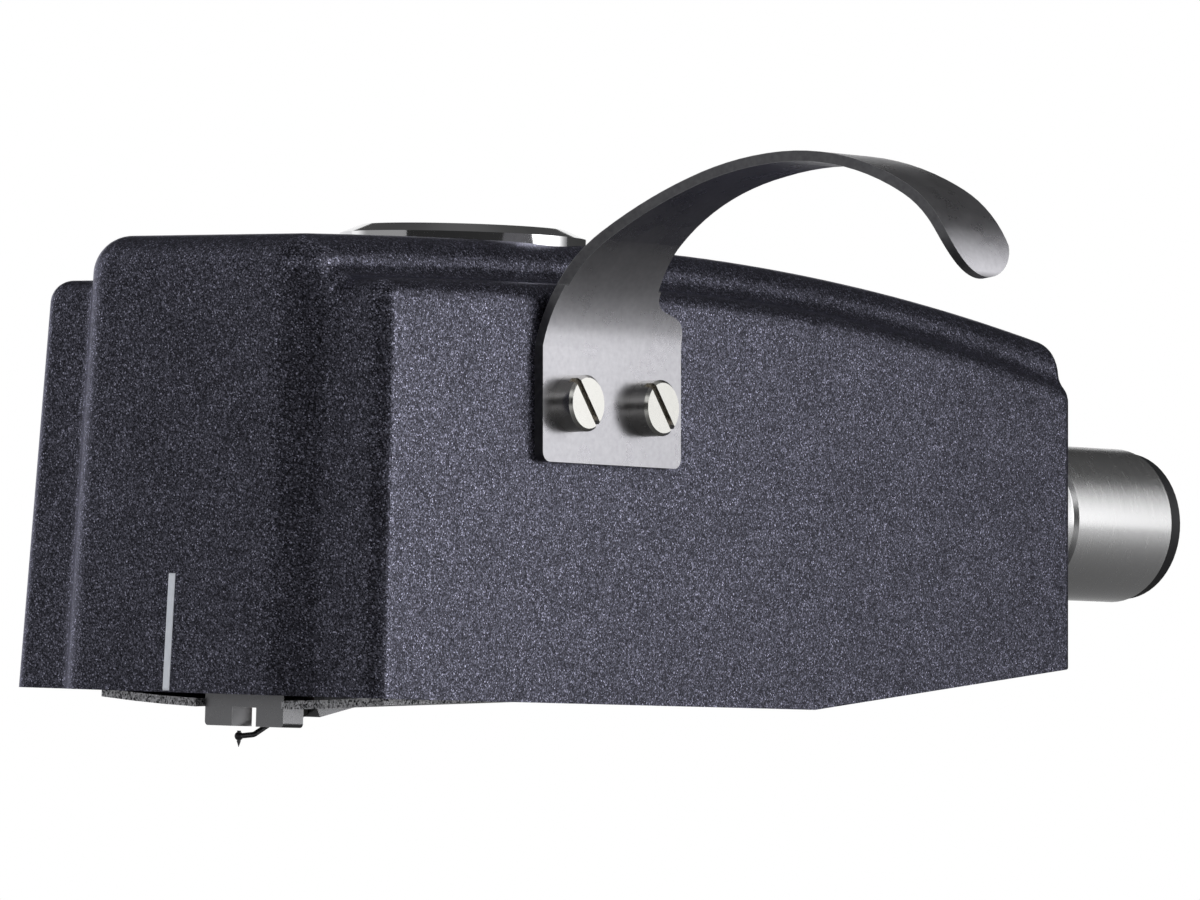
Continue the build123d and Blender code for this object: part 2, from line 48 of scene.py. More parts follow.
# Camera, fitted to the photograph
IMAGE_WIDTH = 1200
FOCAL_PIXELS = 9567.115
SENSOR = 36.0
CAMERA_PLACE = Vector((-374.201, -324.163, -8.755)) * MM
CAMERA_AZIMUTH = -46.569
CAMERA_ELEVATION = -1.366
CAMERA_ROLL = 1.683
CAMERA_NEAR = 10 * MM

# Shell front, as in the solids
NOSE_X = -61.0
FLOOR_Z = -10.0
FRONT_RAKE = 1.9

# Cueing line on the nose: its section as shares of width and height, its rows as shares of length and height
LINE_WIDTH = 0.45
LINE_BOTTOM = -9.93
LINE_TOP = -4.4
LINE_PROUD = 0.025
LINE_HALF_SECTION = [(0.5, 0.0), (0.5, 0.4), (0.42, 0.85), (0.3, 1.0)]
LINE_ROWS = [(0.0, 0.4), (0.03, 0.9), (0.12, 1.0), (0.5, 1.0), (0.88, 1.0), (0.97, 0.9), (1.0, 0.4)]

# Windings on the armature, in the cantilever's own frame, as in the solids
CANTILEVER_SLOPE = 27.0
ARMATURE_PLACE = Vector((-53.1398, 0.0, -10.9112))
ARMATURE_SIZE = 1.0
ARMATURE_THICKNESS = 0.3
COIL_WIRE = 0.06
COIL_LAYERS = 2
COIL_TURNS = 7
CORNER_STEPS = 4

# Cover screws, the head's rim as shares of its radius and height
COVER_HEAD_RADIUS = 1.3
COVER_HEAD_HEIGHT = 0.3
COVER_HEAD_RIM = [(1.0, 0.0), (1.0, 0.45), (0.985, 0.7), (0.95, 0.88), (0.88, 0.97), (0.75, 1.0), (0.4, 1.0)]
COVER_SHANK_RADIUS = 0.8
COVER_SHANK_LENGTH = 4.0
COVER_SLOT_WIDTH = 0.4
COVER_SLOT_DEPTH = 0.2
COVER_SLOT_TURNS = (25.0, 70.0)
HEAD_SEGMENTS = 64
HEAD_FACES_DOWN = -0.9

# Line along the shell's tapered side, which the finger lift follows
SIDE_RUN = Vector((0.9958, 0.0915, 0.0))

# Outward side of the lift's plate, and the heights above which only two mesh slivers at its bend face so;
# these get near-black painted shade, so that they don't glint
PLATE_OUT = Vector((0.0915, -0.9950, 0.0400))
SLIVER_SHADE_HEIGHTS = (9.70 * MM, 9.76 * MM)
SLIVER_SHADE_FACING = (0.985, 0.995)

# Where a surface faces along a line, and how far it turns at an edge, both as dot products
CUT_FACING = (0.4, 0.65)
EDGE_TURN = (0.98, 0.7)

# Satin sheet: how much rougher its cut faces are, and how far its rolled lines show beside its grain
CUT_ROUGHNESS = 0.15
ROLLED_SHARE = 0.6

# Openness of a screw's hollows, from the darkest brown to the plain plate colour
HOLLOW_OPENNESS = (0.35, 0.8)

# Random values that give a coarse and a fine speck on the cover sheet, and how dark each makes it
SPECK_CHANCE = (0.45, 0.85)
SPECK_DARKNESS = 0.75
FINE_CHANCE = (0.45, 0.6)
FINE_DARKNESS = 0.4

# Random values that give a pit in the magnet, and where the pit fades out
PIT_CHANCE = (0.85, 1.0)
PIT_RIM = (0.3, 0.1)

# Values that most of a noise texture lies between
NOISE_RANGE = (0.3, 0.7)

# Flakes of the lacquer: cells a metre, their skew, and the ratio of brightness for each step of a random sum
FLAKE_CELLS = 16500
FLAKE_SKEW = (0.6, 0.9, 0.35)
FLAKE_SPREAD = 5.5
FLAKE_SUM = 3

# Sparse brighter flakes: cells a metre, which cells have one, where it fades out and how bright it is
SPARK_CELLS = 10500
SPARK_CHANCE = (0.86, 0.96)
SPARK_RIM = (0.38, 0.22)
SPARK_BRIGHTNESS = (0.15, 1.1)

# Stage, in metres
CENTRE = Vector((-0.030, 0.0, 0.001))
FLOOR_LEVEL = -0.04
FLOOR_REACH = 0.45
WORLD_GREY = 0.45

Cells = namedtuple("Cells", "first second third distance")


# Node materials

class Paint:
    """A node material with short calls for its textures, which are placed in the frame's metres."""

    def __init__(self, name):
        self.material = bpy.data.materials.new(name)
        self.material.use_nodes = True
        self.tree = self.material.node_tree
        self.shader = self.tree.nodes["Principled BSDF"]
        self.place = self.node("ShaderNodeTexCoord").outputs["Object"]

    def node(self, kind, **settings):
        made = self.tree.nodes.new(kind)
        for key, value in settings.items():
            setattr(made, key, value)
        return made

    def give(self, socket, value):
        """Links another socket to this one, or sets its own value."""
        if isinstance(value, bpy.types.NodeSocket):
            self.tree.links.new(value, socket)
        else:
            socket.default_value = value

    def set(self, **values):
        """Sets the shader's own sockets, by name with _ for a space."""
        for key, value in values.items():
            self.give(self.shader.inputs[key.replace("_", " ")], value)

    def surface(self, shader):
        """Makes another shader the material's surface."""
        self.tree.links.new(shader, self.tree.nodes["Material Output"].inputs["Surface"])

    def maths(self, operation, *values):
        made = self.node("ShaderNodeMath", operation=operation)
        for socket, value in zip(made.inputs, values):
            self.give(socket, value)
        return made.outputs[0]

    def times(self, a, b):
        return self.maths("MULTIPLY", a, b)

    def plus(self, a, b):
        return self.maths("ADD", a, b)

    def power(self, base, exponent):
        return self.maths("POWER", base, exponent)

    def blend(self, a, b, share):
        """Mean of two values, with b's share."""
        return self.plus(self.times(a, 1 - share), self.times(b, share))

    def vector(self, operation, a, b):
        """Vector maths node on two vectors."""
        made = self.node("ShaderNodeVectorMath", operation=operation)
        self.give(made.inputs[0], a)
        self.give(made.inputs[1], b)
        return made

    def along(self, vector, axis):
        """One of a vector's three values."""
        made = self.node("ShaderNodeSeparateXYZ")
        self.give(made.inputs[0], vector)
        return made.outputs[axis]

    def stretched(self, x, y, z):
        return self.vector("MULTIPLY", self.place, (x, y, z)).outputs["Vector"]

    def turned(self, *angles):
        made = self.node("ShaderNodeVectorRotate", rotation_type="EULER_XYZ")
        self.give(made.inputs["Vector"], self.place)
        self.give(made.inputs["Rotation"], angles)
        return made.outputs["Vector"]

    def noise(self, scale, detail=3.0, rough=0.55, place=None):
        made = self.node("ShaderNodeTexNoise")
        self.give(made.inputs["Vector"], place or self.place)
        self.give(made.inputs["Scale"], scale)
        self.give(made.inputs["Detail"], detail)
        self.give(made.inputs["Roughness"], rough)
        return made.outputs["Fac"]

    def lines(self, x, y, z, detail=3, rough=0.6):
        """Noise drawn out into lines, with its own scale along each axis."""
        return self.noise(1.0, detail, rough, self.stretched(x, y, z))

    def cells(self, scale, place=None):
        """Three random values and the distance from the middle, for each cell of a fine mosaic."""
        made = self.node("ShaderNodeTexVoronoi")
        self.give(made.inputs["Vector"], place or self.place)
        self.give(made.inputs["Scale"], scale)
        split = self.node("ShaderNodeSeparateColor")
        self.give(split.inputs[0], made.outputs["Color"])
        return Cells(*split.outputs, made.outputs["Distance"])

    def ramp(self, factor, low, high, out_low=0.0, out_high=1.0, smooth=False):
        kind = "SMOOTHSTEP" if smooth else "LINEAR"
        made = self.node("ShaderNodeMapRange", interpolation_type=kind, clamp=True)
        self.give(made.inputs["Value"], factor)
        self.give(made.inputs["From Min"], low)
        self.give(made.inputs["From Max"], high)
        self.give(made.inputs["To Min"], out_low)
        self.give(made.inputs["To Max"], out_high)
        return made.outputs["Result"]

    def over(self, noise, low, high):
        """A noise spread between two values."""
        return self.ramp(noise, *NOISE_RANGE, low, high)

    def colours(self, factor, first, second):
        made = self.node("ShaderNodeMix", data_type="RGBA")
        self.give(made.inputs["Factor"], factor)
        for socket, colour in (("A", first), ("B", second)):
            self.give(made.inputs[socket], (*colour, 1) if isinstance(colour, tuple) else colour)
        return made.outputs["Result"]

    def edges(self, radius):
        """How near an edge is, from where the surface turns within a radius."""
        bevel = self.node("ShaderNodeBevel", samples=6)
        self.give(bevel.inputs["Radius"], radius)
        flat = self.node("ShaderNodeNewGeometry").outputs["Normal"]
        turn = self.vector("DOT_PRODUCT", bevel.outputs["Normal"], flat)
        return self.ramp(turn.outputs["Value"], *EDGE_TURN)

    def facing(self, run, limits):
        """Where the surface faces along a line, either way."""
        flat = self.node("ShaderNodeNewGeometry").outputs["Normal"]
        turn = self.vector("DOT_PRODUCT", flat, run)
        return self.ramp(self.maths("ABSOLUTE", turn.outputs["Value"]), *limits)

    def bump(self, height, depth):
        made = self.node("ShaderNodeBump")
        self.give(made.inputs["Height"], height)
        self.give(made.inputs["Distance"], depth)
        return made.outputs["Normal"]


def lacquer():
    """Dark blue-grey lacquer, dense with fine metal flakes of many brightnesses."""
    paint = Paint("flaked_lacquer")
    skewed = paint.turned(*FLAKE_SKEW)
    flakes = paint.cells(FLAKE_CELLS, skewed)
    total = paint.plus(paint.plus(flakes.first, flakes.second), flakes.third)
    glint = paint.ramp(paint.power(FLAKE_SPREAD, total), 0.0, FLAKE_SPREAD ** FLAKE_SUM)
    cloud = paint.noise(scale=420, detail=4)
    ground = paint.times(glint, paint.over(cloud, 0.88, 1.12))
    sparks = paint.cells(SPARK_CELLS, skewed)
    spark = paint.times(paint.ramp(sparks.first, *SPARK_CHANCE), paint.ramp(sparks.distance, *SPARK_RIM))
    shine = paint.ramp(sparks.third, 0.0, 1.0, *SPARK_BRIGHTNESS)
    bright = paint.plus(ground, paint.times(spark, shine))
    paint.set(
        Base_Color=paint.colours(bright, (0.0, 0.0, 0.0), (0.62, 0.62, 0.81)),
        Metallic=0.92,
        Roughness=paint.over(cloud, 0.33, 0.39),
        Specular_Tint=(0.88, 0.88, 1.0, 1.0),
        Normal=paint.bump(paint.noise(scale=5200, detail=2), depth=1.5 * UM),
    )
    return paint.material


def satin_steel():
    """Rolled sheet steel, fine grained and a little mottled, with rougher cut faces darkened by painted
    shade, a painted highlight along its edges, and near-black painted shade on two mesh slivers at its bend,
    so that they don't glint.
    """
    paint = Paint("satin_steel")
    grain = paint.noise(scale=3600, detail=2)
    mottle = paint.noise(scale=520, detail=5, rough=0.6)
    rolled = paint.lines(x=1200, y=1200, z=16000)
    tone = paint.blend(grain, mottle, share=0.5)
    steel = paint.colours(tone, (0.27, 0.266, 0.288), (0.50, 0.495, 0.52))
    # Cut faces: a darker copy of the steel, painted shade
    shaded_cut_face = paint.colours(grain, (0.10, 0.10, 0.11), (0.22, 0.22, 0.23))
    cut = paint.facing(SIDE_RUN, CUT_FACING)
    # Lighter colour along every edge: a painted edge highlight
    edge_highlighted = paint.colours(paint.edges(60 * UM), paint.colours(cut, steel, shaded_cut_face), (0.42, 0.42, 0.43))
    # Two mesh slivers at the bend: near-black painted shade, so that they don't glint
    above = paint.ramp(paint.along(paint.place, "Z"), *SLIVER_SHADE_HEIGHTS)
    sliver_shade = paint.times(paint.facing(PLATE_OUT, SLIVER_SHADE_FACING), above)
    paint.set(
        Base_Color=paint.colours(sliver_shade, edge_highlighted, (0.05, 0.05, 0.053)),
        Metallic=1.0,
        Roughness=paint.plus(paint.over(mottle, 0.25, 0.33), paint.times(cut, CUT_ROUGHNESS)),
        Normal=paint.bump(paint.plus(grain, paint.times(rolled, ROLLED_SHARE)), depth=0.6 * UM),
    )
    return paint.material


def bright_nickel():
    """Nickel plate over turned screw heads, darker brown in the slots and hollows, where ambient occlusion
    finds them enclosed.
    """
    paint = Paint("bright_nickel")
    rings = paint.lines(x=2500, y=2500, z=9000)
    stains = paint.noise(scale=1500, detail=4, rough=0.65)
    hollow = paint.node("ShaderNodeAmbientOcclusion", samples=8, only_local=True)
    paint.give(hollow.inputs["Distance"], 350 * UM)
    plate = paint.colours(stains, (0.46, 0.455, 0.435), (0.56, 0.555, 0.53))
    # Brown in place of the plate where ambient occlusion finds the screw's own surface enclosed
    openness_share = paint.ramp(hollow.outputs["AO"], *HOLLOW_OPENNESS)
    paint.set(
        Base_Color=paint.colours(openness_share, (0.26, 0.21, 0.17), plate),
        Metallic=1.0,
        Roughness=paint.over(stains, 0.16, 0.26),
        Normal=paint.bump(rings, depth=0.5 * UM),
    )
    return paint.material


def chrome():
    """Polished chrome with the faintest polishing lines."""
    paint = Paint("polished_chrome")
    haze = paint.noise(scale=380, detail=4)
    polish = paint.lines(x=600, y=9000, z=9000, detail=2, rough=0.5)
    paint.set(
        Base_Color=paint.colours(haze, (0.60, 0.60, 0.61), (0.68, 0.68, 0.69)),
        Metallic=1.0,
        Roughness=paint.over(haze, 0.05, 0.1),
        Normal=paint.bump(polish, depth=0.4 * UM),
    )
    return paint.material


def turned_steel():
    """Steel turned on a lathe: fine rings round the collar's axis, with a painted highlight along its edges.
    """
    paint = Paint("turned_steel")
    rings = paint.lines(x=14000, y=260, z=260, detail=4, rough=0.65)
    fine = paint.lines(x=5200, y=900, z=900)
    tone = paint.blend(rings, fine, share=0.4)
    steel = paint.colours(tone, (0.60, 0.60, 0.605), (0.69, 0.69, 0.695))
    paint.set(
        # Lighter colour along the edges: a painted edge highlight
        Base_Color=paint.colours(paint.edges(100 * UM), steel, (0.7, 0.7, 0.7)),
        Metallic=1.0,
        Roughness=paint.over(fine, 0.23, 0.28),
        Normal=paint.bump(rings, depth=0.3 * UM),
    )
    return paint.material


def dark_moulding():
    """Black moulded plastic with a fine spark-eroded grain, and a painted highlight along its edges."""
    paint = Paint("dark_moulding")
    grain = paint.noise(scale=7000, detail=4, rough=0.6)
    cloud = paint.noise(scale=600)
    body = paint.colours(cloud, (0.005, 0.005, 0.006), (0.010, 0.010, 0.012))
    paint.set(
        # Lighter colour along the edges: a painted edge highlight
        Base_Color=paint.colours(paint.edges(100 * UM), body, (0.022, 0.022, 0.025)),
        Roughness=paint.over(grain, 0.42, 0.56),
        Specular_IOR_Level=0.3,
        Normal=paint.bump(grain, depth=3 * UM),
    )
    return paint.material


def gilt_contact():
    """Gold-plated contact metal, rubbed paler where it is touched, with a painted highlight along its edges.
    """
    paint = Paint("gilt_contact")
    rubbed = paint.noise(scale=1600, detail=4, rough=0.6)
    rings = paint.lines(x=3000, y=12000, z=12000)
    gold = paint.colours(rubbed, (0.70, 0.46, 0.15), (0.82, 0.60, 0.26))
    paint.set(
        # Paler colour along the edges: a painted edge highlight
        Base_Color=paint.colours(paint.edges(80 * UM), gold, (0.86, 0.70, 0.42)),
        Metallic=1.0,
        Roughness=paint.over(rubbed, 0.16, 0.3),
        Normal=paint.bump(rings, depth=0.6 * UM),
    )
    return paint.material


def speckled_sheet():
    """Pale sheet with a coarse dark speckle, as a cast or blasted face has."""
    paint = Paint("speckled_sheet")
    specks = paint.cells(11000)
    fine = paint.noise(scale=9000, rough=0.6)
    coarse = paint.ramp(specks.first, *SPECK_CHANCE, out_high=SPECK_DARKNESS)
    dark = paint.plus(coarse, paint.ramp(fine, *FINE_CHANCE, out_high=FINE_DARKNESS))
    paint.set(
        Base_Color=paint.colours(dark, (0.78, 0.78, 0.81), (0.03, 0.03, 0.036)),
        Metallic=paint.ramp(specks.second, 0.0, 1.0, 0.7, 1.0),
        Roughness=paint.over(fine, 0.42, 0.6),
        Normal=paint.bump(fine, depth=6 * UM),
    )
    return paint.material


def polished_iron():
    """Soft iron, ground and polished, dark with a faint grind, and a painted highlight along its edges."""
    paint = Paint("polished_iron")
    grind = paint.lines(x=2500, y=900, z=12000)
    cloud = paint.noise(scale=700, detail=4)
    iron = paint.colours(cloud, (0.20, 0.20, 0.21), (0.30, 0.30, 0.31))
    paint.set(
        # Lighter colour along the edges: a painted edge highlight
        Base_Color=paint.colours(paint.edges(60 * UM), iron, (0.48, 0.48, 0.49)),
        Metallic=1.0,
        Roughness=paint.over(cloud, 0.22, 0.34),
        Normal=paint.bump(grind, depth=0.8 * UM),
    )
    return paint.material


def ground_magnet():
    """Cast magnet alloy with ground faces and small pits."""
    paint = Paint("ground_magnet")
    grind = paint.lines(x=900, y=9000, z=9000, detail=4)
    holes = paint.cells(2600)
    pits = paint.times(paint.ramp(holes.first, *PIT_CHANCE), paint.ramp(holes.distance, *PIT_RIM))
    alloy = paint.colours(grind, (0.13, 0.13, 0.135), (0.22, 0.22, 0.225))
    paint.set(
        Base_Color=paint.colours(pits, alloy, (0.04, 0.04, 0.042)),
        Metallic=0.85,
        Roughness=paint.over(grind, 0.34, 0.48),
        Normal=paint.bump(grind, depth=1.5 * UM),
    )
    return paint.material


def enamelled_copper():
    """Copper wire under a thin clear enamel."""
    paint = Paint("enamelled_copper")
    tone = paint.noise(scale=6000, detail=4, rough=0.6)
    paint.set(
        Base_Color=paint.colours(tone, (0.55, 0.20, 0.08), (0.72, 0.33, 0.15)),
        Metallic=0.9,
        Roughness=paint.over(tone, 0.2, 0.32),
        Coat_Weight=0.6,
        Normal=paint.bump(tone, depth=1 * UM),
    )
    return paint.material


def damper_rubber():
    """Soft black rubber with a dusty bloom."""
    paint = Paint("damper_rubber")
    bloom = paint.noise(scale=4200, detail=5, rough=0.65)
    paint.set(
        Base_Color=paint.colours(bloom, (0.010, 0.010, 0.010), (0.034, 0.033, 0.032)),
        Roughness=paint.over(bloom, 0.6, 0.8),
        Normal=paint.bump(bloom, depth=4 * UM),
    )
    return paint.material


def drawn_alloy():
    """Dark anodised tube with drawing lines along it."""
    paint = Paint("drawn_alloy")
    drawn = paint.lines(x=900, y=14000, z=14000)
    cloud = paint.noise(scale=2600)
    paint.set(
        Base_Color=paint.colours(cloud, (0.018, 0.018, 0.020), (0.045, 0.045, 0.05)),
        Metallic=0.55,
        Roughness=paint.over(drawn, 0.3, 0.44),
        Normal=paint.bump(drawn, depth=0.8 * UM),
    )
    return paint.material


def stylus_stone():
    """Small diamond, tinted, clear at its flanks."""
    paint = Paint("stylus_stone")
    cloud = paint.noise(scale=9000)
    paint.set(
        Base_Color=paint.colours(cloud, (0.03, 0.03, 0.034), (0.07, 0.07, 0.075)),
        Roughness=paint.over(cloud, 0.03, 0.1),
        IOR=2.4,
        Transmission_Weight=0.35,
    )
    return paint.material


def lead_insulation():
    """Thin coloured sleeves, one tint each side of the middle."""
    paint = Paint("lead_insulation")
    waxy = paint.noise(scale=2400)
    side = paint.ramp(paint.along(paint.place, "Y"), -100 * UM, 100 * UM)
    red = paint.colours(waxy, (0.34, 0.03, 0.025), (0.46, 0.05, 0.04))
    blue = paint.colours(waxy, (0.03, 0.06, 0.26), (0.05, 0.09, 0.36))
    paint.set(
        Base_Color=paint.colours(side, red, blue),
        Roughness=paint.over(waxy, 0.34, 0.46),
        Normal=paint.bump(waxy, depth=3 * UM),
    )
    return paint.material


def line_paint():
    """Pale blue-grey paint of the cueing line, a little patchy."""
    paint = Paint("line_paint")
    patch = paint.noise(scale=3800, detail=5, rough=0.6)
    paint.set(
        Base_Color=paint.colours(patch, (0.44, 0.47, 0.53), (0.60, 0.62, 0.67)),
        Roughness=paint.over(patch, 0.42, 0.55),
        Normal=paint.bump(patch, depth=2 * UM),
    )
    return paint.material


SLOT_PAINTS = {
    "shell": lacquer,
    "chrome_disc": chrome,
    "lift_steel": satin_steel,
    "screw_nickel": bright_nickel,
    "collar_steel": turned_steel,
    "dark_moulding": dark_moulding,
    "contact_metal": gilt_contact,
    "cover_sheet": speckled_sheet,
    "pole_iron": polished_iron,
    "magnet": ground_magnet,
    "copper": enamelled_copper,
    "damper_rubber": damper_rubber,
    "cantilever_alloy": drawn_alloy,
    "stylus_stone": stylus_stone,
    "lead_insulation": lead_insulation,
}

paints = {slot: make() for slot, make in SLOT_PAINTS.items()}
slots = {row["node"]: row["material_slot"] for row in frame["record"]["subparts"]}
for name, node in frame["nodes"].items():
    node.data.materials.clear()
    node.data.materials.append(paints[slots[name]])


# Pieces

def placed(name, data):
    """A new object in the scene."""
    made = bpy.data.objects.new(name, data)
    bpy.context.scene.collection.objects.link(made)
    return made


def piece(name, mesh, material, body):
    """A new object that moves with a body."""
    made = placed(name, mesh)
    mesh.materials.clear()
    mesh.materials.append(material)
    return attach(made, body)


def finished(name, bm):
    """A mesh from a bmesh, which is then freed."""
    mesh = bpy.data.meshes.new(name)
    bm.to_mesh(mesh)
    bm.free()
    return mesh


def joined_rings(bm, rings, closed):
    """Faces between rows of points, and over the first and last row."""
    count = len(rings[0])
    for low, high in zip(rings, rings[1:]):
        for i in range(count if closed else count - 1):
            j = (i + 1) % count
            bm.faces.new((low[i], low[j], high[j], high[i]))
    bm.faces.new(list(reversed(rings[0])))
    bm.faces.new(rings[-1])


def cueing_line():
    """Low painted strip down the middle of the nose, its rim rounded off."""
    lean = radians(FRONT_RAKE)
    up = Vector((sin(lean), 0, cos(lean)))
    out = Vector((-cos(lean), 0, sin(lean)))
    foot = Vector((NOSE_X, 0, FLOOR_Z))
    section = [(-across, proud) for across, proud in LINE_HALF_SECTION] + LINE_HALF_SECTION[::-1]
    length = (LINE_TOP - LINE_BOTTOM) / cos(lean)
    start = (LINE_BOTTOM - FLOOR_Z) / cos(lean)
    bm = bmesh.new()
    rings = []
    for along, height in LINE_ROWS:
        ring = []
        for across, proud in section:
            spot = foot + up * (start + along * length) + out * (LINE_PROUD * proud * height)
            spot += Vector((0, across * LINE_WIDTH, 0))
            ring.append(bm.verts.new(spot * MM))
        rings.append(ring)
    joined_rings(bm, rings, closed=False)
    bmesh.ops.recalc_face_normals(bm, faces=bm.faces)
    mesh = finished("cueing_line", bm)
    mesh.shade_smooth()
    piece("cueing_line", mesh, line_paint(), "shell_body")


def coil_route(depth):
    """Points of one wire that goes round the armature in turns, one layer over another."""
    points = []
    run = COIL_WIRE * (COIL_TURNS - 1)
    turn_steps = 4 * CORNER_STEPS
    steps = COIL_TURNS * turn_steps
    for layer in range(COIL_LAYERS):
        rise = COIL_WIRE * (layer + 0.5)
        way = 1 - 2 * (layer % 2)
        for step in range(steps):
            side, part = divmod(step % turn_steps, CORNER_STEPS)
            angle = radians(90 * (side + part / (CORNER_STEPS - 1)))
            x = ARMATURE_SIZE / 2 * (1 if side in (0, 3) else -1) + rise * cos(angle)
            z = depth / 2 * (1 if side in (0, 1) else -1) + rise * sin(angle)
            y = way * run * (step / (steps - 1) - 0.5)
            points.append(Vector((x, y, z)))
    return points


def coil_windings():
    """Two crossed windings of fine wire, in place of the plain bands."""
    slope = radians(CANTILEVER_SLOPE)
    across = Vector((sin(slope), 0, -cos(slope)))
    along = Vector((cos(slope), 0, sin(slope)))
    turn = Matrix((across, Vector((0, 1, 0)), along)).transposed().to_4x4()
    seat = Matrix.Translation(ARMATURE_PLACE) @ turn
    wires = bpy.data.curves.new("coil_windings", "CURVE")
    wires.dimensions = "3D"
    wires.bevel_depth = COIL_WIRE / 2 * MM
    wires.bevel_resolution = 1
    wires.use_fill_caps = True
    depths = (ARMATURE_THICKNESS, ARMATURE_THICKNESS + 2 * COIL_LAYERS * COIL_WIRE)
    for index, depth in enumerate(depths):
        crossed = seat @ Matrix.Rotation(radians(90 * index), 4, "Z")
        points = coil_route(depth)
        spline = wires.splines.new("POLY")
        spline.points.add(len(points) - 1)
        for point, spot in zip(spline.points, points):
            point.co = (*(crossed @ spot * MM), 1)
    curve = bpy.data.objects.new("coil_wires", wires)
    mesh = bpy.data.meshes.new_from_object(curve)
    bpy.data.objects.remove(curve)
    mesh.shade_smooth()
    made = piece("coil_windings", mesh, paints["copper"], "stylus_assembly")
    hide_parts("coils")


def screw_seats(node):
    """Middle and outward direction of the underside of each cover screw's head."""
    seats = []
    down = [p for p in node.data.polygons if p.normal.z < HEAD_FACES_DOWN]
    for side in (-1, 1):
        low = [p for p in down if p.center.y * side > 0]
        area = sum(p.area for p in low)
        middle = sum((p.center * p.area for p in low), Vector()) / area
        out = sum((p.normal * p.area for p in low), Vector()).normalized()
        seats.append((middle, out))
    return seats


def round_screw():
    """Screw with a low head and rolled rim, the head's seat at the origin, facing +Z."""
    profile = [(COVER_SHANK_RADIUS, -COVER_SHANK_LENGTH), (COVER_SHANK_RADIUS, 0.0)]
    profile += [(across * COVER_HEAD_RADIUS, up * COVER_HEAD_HEIGHT) for across, up in COVER_HEAD_RIM]
    angles = [2 * pi * i / HEAD_SEGMENTS for i in range(HEAD_SEGMENTS)]
    bm = bmesh.new()
    rings = [[bm.verts.new((r * cos(a), r * sin(a), up)) for a in angles] for r, up in profile]
    joined_rings(bm, rings, closed=True)
    return finished("round_screw", bm)


def slot_bar(turn):
    """Bar in the place of the screw's slot, longer than the head is wide."""
    size = (COVER_SLOT_WIDTH, 4 * COVER_HEAD_RADIUS, 2 * COVER_SLOT_DEPTH)
    bm = bmesh.new()
    bmesh.ops.create_cube(bm, size=1.0)
    bmesh.ops.transform(bm, matrix=Matrix.Diagonal((*size, 1)), verts=bm.verts)
    bmesh.ops.rotate(bm, matrix=Matrix.Rotation(radians(turn), 3, "Z"), verts=bm.verts)
    bmesh.ops.translate(bm, vec=(0, 0, COVER_HEAD_HEIGHT), verts=bm.verts)
    return finished("slot_bar", bm)


def cut_away(body, tool):
    """A mesh with another one cut out of it."""
    solid = placed("cut_body", body)
    cutter = placed("cut_tool", tool)
    cut = solid.modifiers.new("cut", "BOOLEAN")
    cut.object = cutter
    cut.solver = "EXACT"
    done = bpy.data.meshes.new_from_object(solid.evaluated_get(bpy.context.evaluated_depsgraph_get()))
    bpy.data.objects.remove(solid)
    bpy.data.objects.remove(cutter)
    return done


def cover_screws():
    """Slotted screws under the base cover, in place of the plain round ones."""
    bm = bmesh.new()
    for (middle, out), turn in zip(screw_seats(frame["nodes"]["base_cover_screws"]), COVER_SLOT_TURNS):
        screw = cut_away(round_screw(), slot_bar(turn))
        seat = middle - out * COVER_HEAD_HEIGHT * MM
        place = Matrix.Translation(seat) @ out.to_track_quat("Z", "Y").to_matrix().to_4x4()
        screw.transform(place @ Matrix.Scale(MM, 4))
        bm.from_mesh(screw)
    mesh = finished("slotted_cover_screws", bm)
    made = piece("slotted_cover_screws", mesh, paints["screw_nickel"], "shell_body")
    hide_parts("base_cover_screws")


cueing_line()
coil_windings()
cover_screws()


# Stage, light and camera

def sheet(name, corners, material):
    """A flat stage sheet from its four corners."""
    mesh = bpy.data.meshes.new(name)
    mesh.from_pydata(corners, [], [(0, 1, 2, 3)])
    made = placed(name, mesh)
    mesh.materials.append(material)
    return made


def level_corners(reach, height):
    """Corners of a level square round the object."""
    spans = [(-reach, -reach), (reach, -reach), (reach, reach), (-reach, reach)]
    return [Vector((CENTRE.x + x, y, height)) for x, y in spans]


def floor():
    """Pale floor, clear when seen from below."""
    paint = Paint("floor_paint")
    tone = paint.noise(scale=6, detail=4)
    paint.set(Base_Color=paint.colours(tone, (0.80, 0.80, 0.80), (0.84, 0.84, 0.84)), Roughness=0.7)
    one_sided = paint.node("ShaderNodeMixShader")
    paint.give(one_sided.inputs[0], paint.node("ShaderNodeNewGeometry").outputs["Backfacing"])
    paint.give(one_sided.inputs[1], paint.shader.outputs[0])
    paint.give(one_sided.inputs[2], paint.node("ShaderNodeBsdfTransparent").outputs[0])
    paint.surface(one_sided.outputs[0])
    sheet("floor", level_corners(FLOOR_REACH, FLOOR_LEVEL), paint.material)


def glowing(paint, where, fade, glow):
    """Glow that goes smoothly from a first to a last level while a place value goes through its fade."""
    lamp = paint.node("ShaderNodeEmission")
    paint.give(lamp.inputs["Strength"], paint.ramp(where, *fade, *glow, smooth=True))
    paint.surface(lamp.outputs[0])
    paint.tree.nodes.remove(paint.shader)
    return paint.material


def flag(name, corners, material):
    """Studio card that shows in reflections only."""
    card = sheet(name, corners, material)
    card.visible_camera = False
    card.visible_diffuse = False
    card.visible_transmission = False
    card.visible_shadow = False


